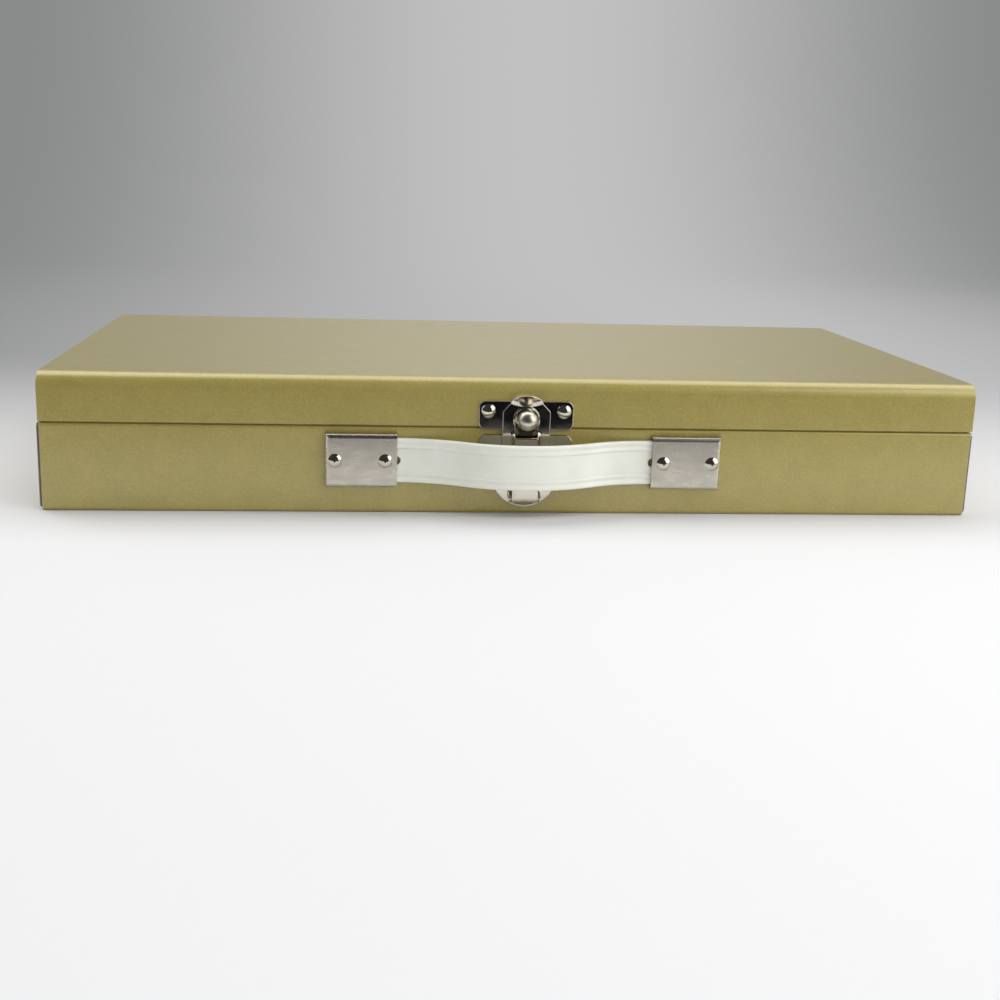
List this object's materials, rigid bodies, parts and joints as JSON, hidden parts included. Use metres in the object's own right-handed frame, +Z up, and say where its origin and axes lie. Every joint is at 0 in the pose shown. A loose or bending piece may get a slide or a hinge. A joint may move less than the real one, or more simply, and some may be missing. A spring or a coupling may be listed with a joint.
{
  "type": "cash box",
  "caption": "Flat sheet-steel cash box with a hinged lid, a snap hasp over a ball stud and a bowed strap handle on the front wall.",
  "frame": {"origin": "centre of the flat bottom face", "axes": "+X to the right along the long side, +Y to the hinge side at the rear, +Z up"},
  "size_m": [0.3718, 0.2223, 0.054],
  "materials": {
    "enamel": "olive-gold stove enamel with a fine metallic speckle, semi-gloss",
    "nickel": "bright nickel plate, lightly worn",
    "steel": "plain bright steel",
    "vinyl": "ivory moulded vinyl, satin"
  },
  "bodies": {
    "base": {"base_wrap": "enamel", "base_end_left": "enamel", "base_end_right": "enamel", "hinge_leaf_base": "enamel", "hinge_pin": "steel", "catch_plate": "nickel", "catch_rivets": "nickel", "hasp_pin": "nickel", "bracket_left": "nickel", "bracket_right": "nickel", "bracket_rivets": "nickel"},
    "lid": {"lid_wrap": "enamel", "lid_end_left": "enamel", "lid_end_right": "enamel", "hinge_leaf_lid": "enamel", "strike_plate": "nickel", "strike_rivets": "nickel", "ball_stud": "nickel"},
    "hasp": {"hasp": "nickel", "hasp_spring": "steel"},
    "handle": {"handle_strap": "vinyl"}
  },
  "joints": [
    {"name": "lid_hinge", "type": "hinge", "parent": "base", "child": "lid", "pos_m": [0, 0.1032, 0.0348], "axis": [-1, 0, 0], "range_deg": [0, 180]},
    {"name": "hasp_hinge", "type": "hinge", "parent": "base", "child": "hasp", "pos_m": [0.002, -0.1043, 0.0072], "axis": [1, 0, 0], "range_deg": [0, 21], "deforming": ["hasp_spring"]},
    {"name": "handle_pull", "type": "slide", "parent": "base", "child": "handle", "axis": [0, -1, 0], "range_m": [0, 0.01], "deforming": ["handle_strap"]}
  ]
}
